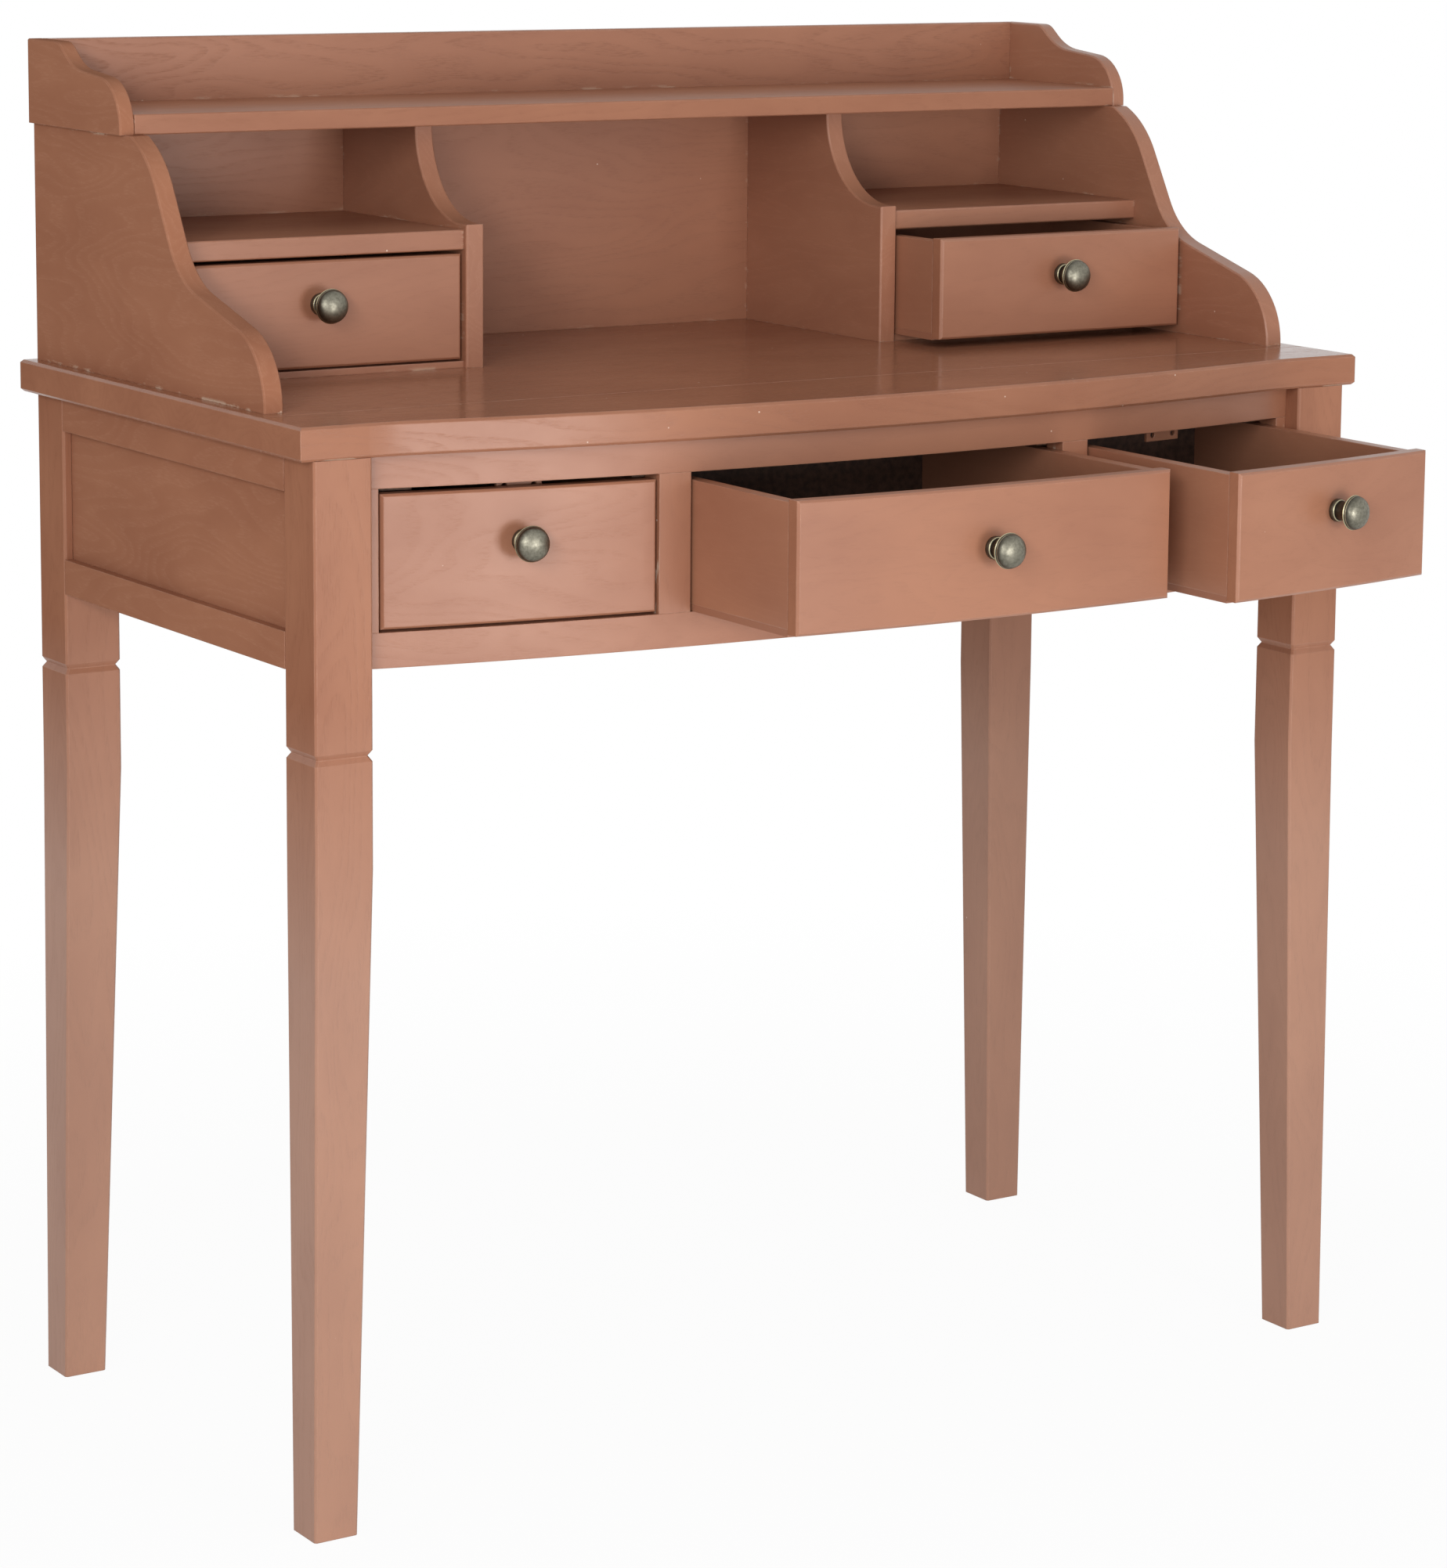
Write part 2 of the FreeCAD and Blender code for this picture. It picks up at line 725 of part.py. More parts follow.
def drawer(name, x0, x1, seat, front_low, front_high, front_y, back_y, side_end, knob_rise, curved, out):
    """One drawer, built closed and then drawn out by `out`. front_y is the face of a flat front."""
    thickness = drawer_front_thickness
    if curved:
        front = bowed(x0, x1, 0, -thickness, front_low, front_high)
    else:
        front = box(x0, x1, front_y, front_y + thickness, front_low, front_high)
    face_edges = [
        edge
        for edge in front.Edges
        if all(abs(front_face(vertex.X, front_y, curved) - vertex.Y) < 0.01 for vertex in edge.Vertexes)
    ]
    front = front.makeChamfer(drawer_front_ease, face_edges)

    low = seat + running_clearance
    high = front_high - drawer_side_drop
    inner0 = x0 + drawer_side_thickness
    inner1 = x1 - drawer_side_thickness
    floor_high = low + drawer_bottom_thickness
    bottom = box(x0, x1, front_y - bow_rise, side_end, low, floor_high)
    sides = []
    for start in (x0, inner1):
        board = box(start, start + drawer_side_thickness, front_y - bow_rise, side_end, floor_high, high)
        sides.append(fitted(board, thickness, front_y, curved))
    back = box(inner0, inner1, back_y, back_y + drawer_back_thickness, floor_high, high)

    middle = (x0 + x1) / 2.0
    place = vec(middle, front_face(middle, front_y, curved), (front_low + front_high) / 2.0 + knob_rise)
    tilt = math.degrees(math.asin(middle / bow_radius)) if curved else 0.0
    screw_hole = rod(
        knob_screw_diameter + knob_screw_clearance,
        vec(0, -thickness, 0),
        vec(0, 1, 0),
        3.0 * thickness,
    )
    handle = knob()
    for piece in (screw_hole, handle):
        piece.rotate(vec(0, 0, 0), vec(0, 0, 1), tilt)
        piece.translate(place)
    pieces = {
        "front": front.cut(screw_hole),
        "sides": Part.makeCompound(sides),
        "back": back,
        "bottom": fitted(bottom, thickness, front_y, curved),
        "knob": handle,
    }
    for suffix, shape in pieces.items():
        shape.translate(vec(0, -out, 0))
        nodes[name + "_drawer_" + suffix] = shape


def front_face(x, front_y, curved):
    if curved:
        return bow_y(x, 0)
    return front_y


def fitted(shape, behind, front_y, curved):
    """Cuts a board of a drawer off `behind` the face of its front."""
    if curved:
        return behind_bow(shape, -behind)
    limits = shape.BoundBox
    keep = box(limits.XMin, limits.XMax, front_y + behind, limits.YMax, limits.ZMin, limits.ZMax)
    return shape.common(keep)


stop_rear = bow_y(stop_middle + stop_plate_width / 2.0, stop_back)
lower_back = stop_rear + lower_travel + stop_clearance
for name, x0, x1, knob_rise, out in (
    ("lower_left", -side_bay_outer, -side_bay_inner, knob_left_rise, 0.0),
    ("lower_centre", -centre_bay, centre_bay, knob_centre_rise, lower_centre_open),
    ("lower_right", side_bay_inner, side_bay_outer, knob_right_rise, lower_right_open),
):
    drawer(
        name,
        x0 + lower_side_gap,
        x1 - lower_side_gap,
        lower_seat,
        opening_bottom + lower_bottom_gap,
        opening_top - lower_top_gap,
        rail_end - bow_rise,
        lower_back,
        lower_back + drawer_back_thickness + drawer_side_extension,
        knob_rise,
        True,
        out,
    )

upper_seat = desk_height + hutch_floor_thickness
upper_end = hutch_back_face - upper_box_gap
for name, x0, x1, out in (
    ("upper_left", -hutch_inner, -upper_bay_inner, 0.0),
    ("upper_right", upper_bay_inner, hutch_inner, upper_right_open),
):
    drawer(
        name,
        x0 + upper_side_gap,
        x1 - upper_side_gap,
        upper_seat,
        upper_seat + upper_bottom_gap,
        shelf_level - upper_top_gap,
        shelf_front,
        upper_end - drawer_back_thickness,
        upper_end,
        knob_upper_rise,
        False,
        out,
    )

overall = Part.makeCompound(list(nodes.values())).BoundBox
to_origin = vec(-overall.Center.x, -overall.Center.y, -overall.ZMin)
os.makedirs("parts", exist_ok=True)
for name, shape in nodes.items():
    shape.translate(to_origin)
    shape.exportStep("parts/" + name + ".step")
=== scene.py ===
import math

import bpy
from bpy.props import FloatProperty, FloatVectorProperty, IntProperty, PointerProperty
from mathutils import Matrix, Vector


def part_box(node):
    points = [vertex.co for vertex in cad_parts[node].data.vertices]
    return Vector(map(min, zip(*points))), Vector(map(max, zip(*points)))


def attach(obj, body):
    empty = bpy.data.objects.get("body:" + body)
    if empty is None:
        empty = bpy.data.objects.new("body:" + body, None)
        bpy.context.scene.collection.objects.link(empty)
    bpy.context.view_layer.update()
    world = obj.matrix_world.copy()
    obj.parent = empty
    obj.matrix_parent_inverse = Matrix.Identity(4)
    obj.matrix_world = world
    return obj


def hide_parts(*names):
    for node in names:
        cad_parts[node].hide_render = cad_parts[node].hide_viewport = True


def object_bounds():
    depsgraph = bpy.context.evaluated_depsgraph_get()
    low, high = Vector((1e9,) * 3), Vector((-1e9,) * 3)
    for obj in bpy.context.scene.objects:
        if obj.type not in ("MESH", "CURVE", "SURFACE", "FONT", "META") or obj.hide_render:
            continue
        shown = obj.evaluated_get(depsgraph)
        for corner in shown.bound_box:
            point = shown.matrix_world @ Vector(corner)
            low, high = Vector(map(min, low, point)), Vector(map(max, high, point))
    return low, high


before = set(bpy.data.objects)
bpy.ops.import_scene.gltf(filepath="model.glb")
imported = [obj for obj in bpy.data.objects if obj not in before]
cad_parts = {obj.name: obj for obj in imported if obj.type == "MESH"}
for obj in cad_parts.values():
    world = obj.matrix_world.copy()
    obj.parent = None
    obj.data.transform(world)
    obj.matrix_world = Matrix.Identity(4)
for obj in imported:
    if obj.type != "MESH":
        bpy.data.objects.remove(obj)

bl_info = {
    "name": "Bow-front writing desk",
    "version": (1, 0, 0),
    "blender": (4, 5, 0),
    "location": "View3D > Sidebar > Desk",
    "description": "Paints the desk's boards, turns its knobs and sets up the studio",
    "category": "Object",
}

CAD_BOX = [list(corner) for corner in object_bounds()]
DRAWERS = ("lower_left", "lower_centre", "lower_right", "upper_left", "upper_right")
MM = 0.001

# patterns of the paint, in metres along a board and twice across it
RING_FIELD = (0.36, 0.07, 0.07)
STREAK = (0.035, 0.008, 0.008)
PORE_LENGTH = 0.008
# patches it takes the ring field to run through its whole range
FIELD_SLOPE = 2.2
# how much the pores of a fully figured board tint and dull the coat, and the orange peel's share of relief
PORE_TINT = 0.16
PORE_DULLNESS = 0.10
PEEL_HEIGHT = 0.30
# radii of a dust nib, whole and faded out
NIB_CORE = 0.35 * MM
NIB_RIM = 0.8 * MM
# how far from a joint dust and primer reach
JOINT_REACH = 4.0 * MM
# heights at which the painted reflection of the pale floor on the uprights starts and is whole, and its
# share
REFLECTION_TOP = 0.60
REFLECTION_WHOLE = 0.40
REFLECTION_SHARE = 0.15
# share of the upper face's polish that its edges have
EDGE_POLISH = 0.65
ENAMEL_IOR = 1.5

# the knob's profile in millimetres: diameter at which it is drawn, rise of its dome
KNOB_DRAWN = 26.1
DOME_RISE = 6.5
# level of plain metal on a knob: 0 is dark, patina in the hollows and painted shade round the dome's
# edge, 1 a bright rim, part abraded metal and part painted glint
PLAIN_METAL = 0.5
# the screw of a knob, which goes through the drawer front
FRONT_BOARD = 12.0 * MM
SCREW_HEAD = 2.25 * MM
SCREW_SIDES = 24

# the floor, a little under the feet
FLOOR_SIZE = 16.0
FLOOR_DROP = 0.4 * MM
# how far from the middle the floor's glow starts to rise and is whole, and its share by the feet
GLOW_NEAR = 0.7
GLOW_FAR = 1.6
GLOW_BY_FEET = 0.95
# the camera's sensor in millimetres, and how far it sees in metres
SENSOR_WIDTH = 36.0
CLIP_END = 50.0


def linear(hex_colour):
    """Linear RGBA of an sRGB hex colour."""
    parts = [int(hex_colour[i:i + 2], 16) / 255.0 for i in (1, 3, 5)]
    return [p / 12.92 if p <= 0.04045 else ((p + 0.055) / 1.055) ** 2.4 for p in parts] + [1.0]


def add(tree, kind, links=(), stops=(), **settings):
    """Adds a node. Links are (input, value or output socket), settings the node's own attributes, and stops
    the (position, grey or colour) pairs of a ramp."""
    made = tree.nodes.new(kind)
    for key, value in settings.items():
        setattr(made, key, value)
    for spare in stops[2:]:
        made.color_ramp.elements.new(spare[0])
    for index, (position, colour) in enumerate(stops):
        grey = isinstance(colour, float)
        made.color_ramp.elements[index].position = position
        made.color_ramp.elements[index].color = (colour, colour, colour, 1.0) if grey else colour
    for socket, value in links:
        if isinstance(value, bpy.types.NodeSocket):
            tree.links.new(value, made.inputs[socket])
        else:
            made.inputs[socket].default_value = value
    return made


def new_material(name):
    """Empty node material with a Principled shader, as (material, tree, shader)."""
    material = bpy.data.materials.new(name)
    material.use_nodes = True
    tree = material.node_tree
    shader = next(n for n in tree.nodes if n.type == "BSDF_PRINCIPLED")
    return material, tree, shader


def per(sizes):
    """Texture scale at which one unit of a pattern has these sizes."""
    return tuple(1.0 / size for size in sizes)


def painted_ash(name, look, grain, figure, sheen, dust=0.0, polish=None):
    """Terracotta satin enamel brushed thin over open-grained ash. The coat hides the wood's colour, but its
    pores stay as short dashes that crowd along the growth rings, painted paler on boards along Y as a
    painted glint; edges are painted paler, part abraded paint and part painted highlight; uprights are
    painted paler downwards as a painted reflection of the floor; faces to the sides are dull, and dust and
    bare primer show in the joints. grain is the board's long axis, figure how strongly the wood shows,
    sheen the specular level, dust how much primer and dust there is, and polish the roughness of a
    polished upper face."""
    material, tree, shader = new_material(name)
    place = add(tree, "ShaderNodeTexCoord").outputs["Object"]
    face = add(tree, "ShaderNodeNewGeometry").outputs["True Normal"]
    turn = {"X": (0, 0, 0), "Y": (0, 0, -math.pi / 2), "Z": (0, math.pi / 2, 0)}[grain]
    board = add(tree, "ShaderNodeMapping", [("Vector", place), ("Rotation", turn)]).outputs[0]
    # growth rings: contours of a slow field drawn out along the board, that close in arches
    slow = add(tree, "ShaderNodeMapping", [("Vector", board), ("Scale", per(RING_FIELD))]).outputs[0]
    field = add(tree, "ShaderNodeTexNoise", [
        ("Vector", slow), ("Scale", 1.0), ("Detail", 2.0), ("Roughness", 0.42), ("Distortion", 0.25),
    ]).outputs[0]
    rings = RING_FIELD[1] / look.ring_width * FIELD_SLOPE
    phase = add(tree, "ShaderNodeMath", [(0, field), (1, rings)], operation="MULTIPLY").outputs[0]
    saw = add(tree, "ShaderNodeMath", [(0, phase)], operation="FRACT").outputs[0]
    band = add(tree, "ShaderNodeValToRGB", [(0, saw)], [
        (0.0, 0.35), (0.06, 1.0), (0.30, 0.75), (0.62, 0.12), (0.97, 0.10), (1.0, 0.35),
    ]).outputs[0]
    # pores: dashes 0.6 mm wide on the real wood, drawn about 1 mm wide and 8 mm long so that they show
    fine = add(tree, "ShaderNodeMapping", [
        ("Vector", board), ("Scale", per((PORE_LENGTH, look.pore_width, look.pore_width))),
    ]).outputs[0]
    dashes = add(tree, "ShaderNodeTexNoise", [
        ("Vector", fine), ("Scale", 1.0), ("Detail", 2.0), ("Roughness", 0.55),
    ]).outputs[0]
    sunk = add(tree, "ShaderNodeValToRGB", [(0, dashes)], [(0.47, 0.25), (0.66, 1.0)]).outputs[0]
    pores = add(tree, "ShaderNodeMath", [(0, sunk), (1, band)], operation="MULTIPLY").outputs[0]
    # cloudy unevenness of the brushed coat, patches about 150 mm long and 75 mm wide
    brushed = add(tree, "ShaderNodeMapping", [("Vector", board), ("Scale", (0.5, 1.0, 1.0))]).outputs[0]
    clouds = add(tree, "ShaderNodeTexNoise", [
        ("Vector", brushed), ("Scale", 13.0), ("Detail", 5.0), ("Roughness", 0.55),
    ]).outputs[0]
    coat = add(tree, "ShaderNodeValToRGB", [(0, clouds)], [
        (0.32, look.paint_dark), (0.68, look.paint),
    ]).outputs[0]
    # painted glint: the pores of boards along Y are painted paler, as if light glinted along them;
    # on the fronts they are darker
    shown = add(tree, "ShaderNodeMath", [
        (0, pores), (1, PORE_TINT * figure),
    ], operation="MULTIPLY").outputs[0]
    layers = [(shown, look.pore_painted_glint if grain == "Y" else look.pore)]
    # painted reflection: uprights painted paler downwards, standing in for the pale floor mirrored in them
    if grain == "Z":
        height = add(tree, "ShaderNodeSeparateXYZ", [(0, place)]).outputs["Z"]
        floor_reflection = add(tree, "ShaderNodeMapRange", [
            ("Value", height), ("From Min", REFLECTION_TOP), ("From Max", REFLECTION_WHOLE), ("To Max", REFLECTION_SHARE),
        ]).outputs[0]
        layers.append((floor_reflection, look.speck_and_floor_reflection))
    # edges: painted paler where the rounded normal leaves the face's own normal, broken up in flakes of
    # about
    # 4 mm; part abraded paint, part painted highlight on the arrises
    soft = add(tree, "ShaderNodeBevel", [("Radius", look.edge_width)], samples=4).outputs[0]
    turned = add(tree, "ShaderNodeVectorMath", [
        (0, soft), (1, face),
    ], operation="DOT_PRODUCT").outputs["Value"]
    edge = add(tree, "ShaderNodeMapRange", [
        ("Value", turned), ("From Min", 0.99), ("From Max", 0.80), ("To Max", look.edge_wear_and_highlight),
    ]).outputs[0]
    flakes = add(tree, "ShaderNodeTexNoise", [
        ("Vector", place), ("Scale", 70.0), ("Detail", 5.0), ("Roughness", 0.7),
    ]).outputs[0]
    flaked_breakup = add(tree, "ShaderNodeValToRGB", [(0, flakes)], [(0.42, 0.25), (0.66, 1.0)]).outputs[0]
    rubbed_and_highlit = add(tree, "ShaderNodeMath", [(0, edge), (1, flaked_breakup)], operation="MULTIPLY").outputs[0]
    layers.append((rubbed_and_highlit, look.edge))
    # dust nibs in the paint, under 1 mm across, and finer dust where it settles
    specks = [(look.speck_spacing, look.speck_share)]
    if dust:
        specks.append((look.dust_spacing, look.dust_share * dust))
    for spacing, share in specks:
        cells = add(tree, "ShaderNodeTexVoronoi", [("Vector", place), ("Scale", 1 / spacing)])
        nib = add(tree, "ShaderNodeMapRange", [
            ("Value", cells.outputs["Distance"]), ("From Min", NIB_CORE / spacing),
            ("From Max", NIB_RIM / spacing), ("To Min", 1.0), ("To Max", 0.0),
        ]).outputs[0]
        pick = add(tree, "ShaderNodeSeparateColor", [(0, cells.outputs["Color"])]).outputs[0]
        few = add(tree, "ShaderNodeMath", [(0, pick), (1, 1.0 - share)], operation="GREATER_THAN").outputs[0]
        nibs = add(tree, "ShaderNodeMath", [(0, nib), (1, few)], operation="MULTIPLY").outputs[0]
        layers.append((nibs, look.speck_and_floor_reflection))
    # joints: primer and dust in broken streaks by the line where two boards meet
    if dust:
        near = add(tree, "ShaderNodeAmbientOcclusion", [("Distance", JOINT_REACH)], samples=6).outputs["AO"]
        crevice = add(tree, "ShaderNodeValToRGB", [(0, near)], [(0.64, 1.0), (0.80, 0.0)]).outputs[0]
        streak = add(tree, "ShaderNodeMapping", [("Vector", board), ("Scale", per(STREAK))]).outputs[0]
        crumb = add(tree, "ShaderNodeTexNoise", [
            ("Vector", streak), ("Scale", 1.0), ("Detail", 5.0), ("Roughness", 0.7),
        ]).outputs[0]
        loose = add(tree, "ShaderNodeValToRGB", [(0, crumb)], [(0.55, 0.0), (0.61, dust)]).outputs[0]
        chips = add(tree, "ShaderNodeMath", [(0, crevice), (1, loose)], operation="MULTIPLY").outputs[0]
        layers.append((chips, look.primer))
    for share, colour in layers:
        coat = add(tree, "ShaderNodeMix", [(0, share), (6, coat), (7, colour)], data_type="RGBA").outputs[2]
    tree.links.new(coat, shader.inputs["Base Color"])
    # gloss: duller in the pores and where the coat is thin, polished on the writing surface's upper face
    upward = add(tree, "ShaderNodeSeparateXYZ", [(0, face)]).outputs["Z"]
    polish = polish or look.gloss
    even = add(tree, "ShaderNodeMapRange", [
        ("Value", upward), ("From Min", 0.8), ("From Max", 0.95),
        ("To Min", (1.0 - EDGE_POLISH) * look.gloss + EDGE_POLISH * polish), ("To Max", polish),
    ]).outputs[0]
    thin = add(tree, "ShaderNodeMapRange", [
        ("Value", clouds), ("From Min", 0.3), ("From Max", 0.7), ("To Min", 0.04), ("To Max", -0.03),
    ]).outputs[0]
    dull = add(tree, "ShaderNodeMath", [(0, even), (1, thin)], operation="ADD").outputs[0]
    duller = add(tree, "ShaderNodeMath", [
        (0, pores), (1, PORE_DULLNESS * figure), (2, dull),
    ], operation="MULTIPLY_ADD").outputs[0]
    tree.links.new(duller, shader.inputs["Roughness"])
    shader.inputs["IOR"].default_value = ENAMEL_IOR
    shader.inputs["Specular IOR Level"].default_value = sheen
    # relief: sunken pores and the brush's orange peel, swells about 2.5 mm
    peel = add(tree, "ShaderNodeTexNoise", [("Vector", place), ("Scale", 400.0), ("Detail", 2.0)]).outputs[0]
    sunken = add(tree, "ShaderNodeMath", [
        (0, pores), (1, -figure), (2, 1.0),
    ], operation="MULTIPLY_ADD").outputs[0]
    relief = add(tree, "ShaderNodeMath", [
        (0, peel), (1, PEEL_HEIGHT), (2, sunken),
    ], operation="MULTIPLY_ADD").outputs[0]
    bump = add(tree, "ShaderNodeBump", [
        ("Strength", 0.25), ("Distance", 0.2 * MM), ("Height", relief), ("Normal", soft),
    ]).outputs[0]
    tree.links.new(bump, shader.inputs["Normal"])
    # faces to the sides, the ends of boards and the sides of legs, took less of the coat and are dull, so
    # that the paint's own colour shows; uprights are dull above the painted floor reflection only
    if grain != "Y":
        across = add(tree, "ShaderNodeSeparateXYZ", [(0, face)]).outputs["X"]
        square = add(tree, "ShaderNodeMath", [(0, across), (1, across)], operation="MULTIPLY").outputs[0]
        aside = add(tree, "ShaderNodeMapRange", [
            ("Value", square), ("From Min", 0.8), ("From Max", 0.95),
        ]).outputs[0]
        if grain == "Z":
            aside = add(tree, "ShaderNodeMapRange", [
                ("Value", height), ("From Min", REFLECTION_WHOLE), ("From Max", REFLECTION_TOP), ("To Max", aside),
            ]).outputs[0]
        flat = add(tree, "ShaderNodeBsdfPrincipled", [
            ("Base Color", coat), ("Roughness", duller), ("IOR", ENAMEL_IOR),
            ("Specular IOR Level", look.side_sheen), ("Normal", bump),
        ]).outputs[0]
        mixed = add(tree, "ShaderNodeMixShader", [(0, aside), (1, shader.outputs[0]), (2, flat)]).outputs[0]
        output = next(n for n in tree.nodes if n.type == "OUTPUT_MATERIAL")
        tree.links.new(mixed, output.inputs["Surface"])
    return material


def antiqued_pewter(look):
    """Cast pewter, antiqued: near-black patina in the hollows and painted shade round the dome's edge, warm
    grey metal on it, brassy rims that are part abraded metal and part painted glint. The mesh's ring
    attribute says how much patina and painted shade is left, and where a rim is painted bright."""
    material, tree, shader = new_material("antiqued_pewter")
    place = add(tree, "ShaderNodeTexCoord").outputs["Object"]
    # cloudy casting skin, patches about 2.5 mm, and a grit of about 0.5 mm
    mottle = add(tree, "ShaderNodeTexNoise", [
        ("Vector", place), ("Scale", 420.0), ("Detail", 6.0), ("Roughness", 0.65),
    ]).outputs[0]
    grit = add(tree, "ShaderNodeTexNoise", [
        ("Vector", place), ("Scale", 1800.0), ("Detail", 3.0),
    ]).outputs[0]
    metal = add(tree, "ShaderNodeValToRGB", [(0, mottle)], [
        (0.35, look.metal_dark), (0.66, look.metal),
    ]).outputs[0]
    # low metal level: patina in hollows, painted shade round the dome; high: rims part abraded, part painted
    # glint
    wear = add(tree, "ShaderNodeAttribute", attribute_name="wear").outputs["Fac"]
    bared = add(tree, "ShaderNodeMapRange", [("Value", wear), ("From Max", PLAIN_METAL)]).outputs[0]
    aged = add(tree, "ShaderNodeMix", [
        (0, bared), (6, look.metal_hollow_and_shade), (7, metal),
    ], data_type="RGBA").outputs[2]
    rubbed_and_highlit = add(tree, "ShaderNodeMapRange", [("Value", wear), ("From Min", PLAIN_METAL)]).outputs[0]
    bright = add(tree, "ShaderNodeMix", [
        (0, rubbed_and_highlit), (6, aged), (7, look.metal_bright),
    ], data_type="RGBA").outputs[2]
    tree.links.new(bright, shader.inputs["Base Color"])
    shader.inputs["Metallic"].default_value = 1.0
    rough = add(tree, "ShaderNodeMapRange", [
        ("Value", mottle), ("From Min", 0.3), ("From Max", 0.7), ("To Min", 0.46), ("To Max", 0.39),
    ]).outputs[0]
    tree.links.new(rough, shader.inputs["Roughness"])
    height = add(tree, "ShaderNodeMath", [
        (0, grit), (1, 0.4), (2, mottle),
    ], operation="MULTIPLY_ADD").outputs[0]
    bump = add(tree, "ShaderNodeBump", [
        ("Strength", 0.2), ("Distance", 0.1 * MM), ("Height", height),
    ]).outputs[0]
    tree.links.new(bump, shader.inputs["Normal"])
    return material


def planed_pine(name, light, dark, outside=None):
    """Softwood board planed along Y and stained: fibres drawn out along it, paler between late-wood lines
    about 5 mm apart. Its dark colour is partly painted shade, darkening the drawers' insides and the runners
    as if they lay in the carcass's shade. A drawer bottom is stained on its upper face only, and outside is
    the paint of the others."""
    material, tree, shader = new_material(name)
    place = add(tree, "ShaderNodeTexCoord").outputs["Object"]
    drawn = add(tree, "ShaderNodeMapping", [("Vector", place), ("Scale", (1.0, 0.05, 1.0))]).outputs[0]
    rings = add(tree, "ShaderNodeTexNoise", [
        ("Vector", drawn), ("Scale", 200.0), ("Detail", 2.0), ("Roughness", 0.5),
    ]).outputs[0]
    fibre = add(tree, "ShaderNodeTexNoise", [
        ("Vector", drawn), ("Scale", 900.0), ("Detail", 3.0),
    ]).outputs[0]
    mixed = add(tree, "ShaderNodeMath", [
        (0, fibre), (1, 0.35), (2, rings),
    ], operation="MULTIPLY_ADD").outputs[0]
    wood = add(tree, "ShaderNodeValToRGB", [(0, mixed)], [(0.50, light), (0.85, dark)]).outputs[0]
    if outside:
        normal = add(tree, "ShaderNodeNewGeometry").outputs["True Normal"]
        height = add(tree, "ShaderNodeSeparateXYZ", [(0, normal)]).outputs["Z"]
        upward = add(tree, "ShaderNodeMath", [(0, height), (1, 0.5)], operation="GREATER_THAN").outputs[0]
        wood = add(tree, "ShaderNodeMix", [
            (0, upward), (6, outside), (7, wood),
        ], data_type="RGBA").outputs[2]
    tree.links.new(wood, shader.inputs["Base Color"])
    dull = add(tree, "ShaderNodeMapRange", [("Value", fibre), ("To Min", 0.5), ("To Max", 0.64)]).outputs[0]
    tree.links.new(dull, shader.inputs["Roughness"])
    bump = add(tree, "ShaderNodeBump", [
        ("Strength", 0.2), ("Distance", 0.2 * MM), ("Height", fibre),
    ]).outputs[0]
    tree.links.new(bump, shader.inputs["Normal"])
    return material


def dress(names, material):
    """Gives CAD nodes their finish."""
    for name in names:
        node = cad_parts[name]
        node.data.materials.clear()
        node.data.materials.append(material)


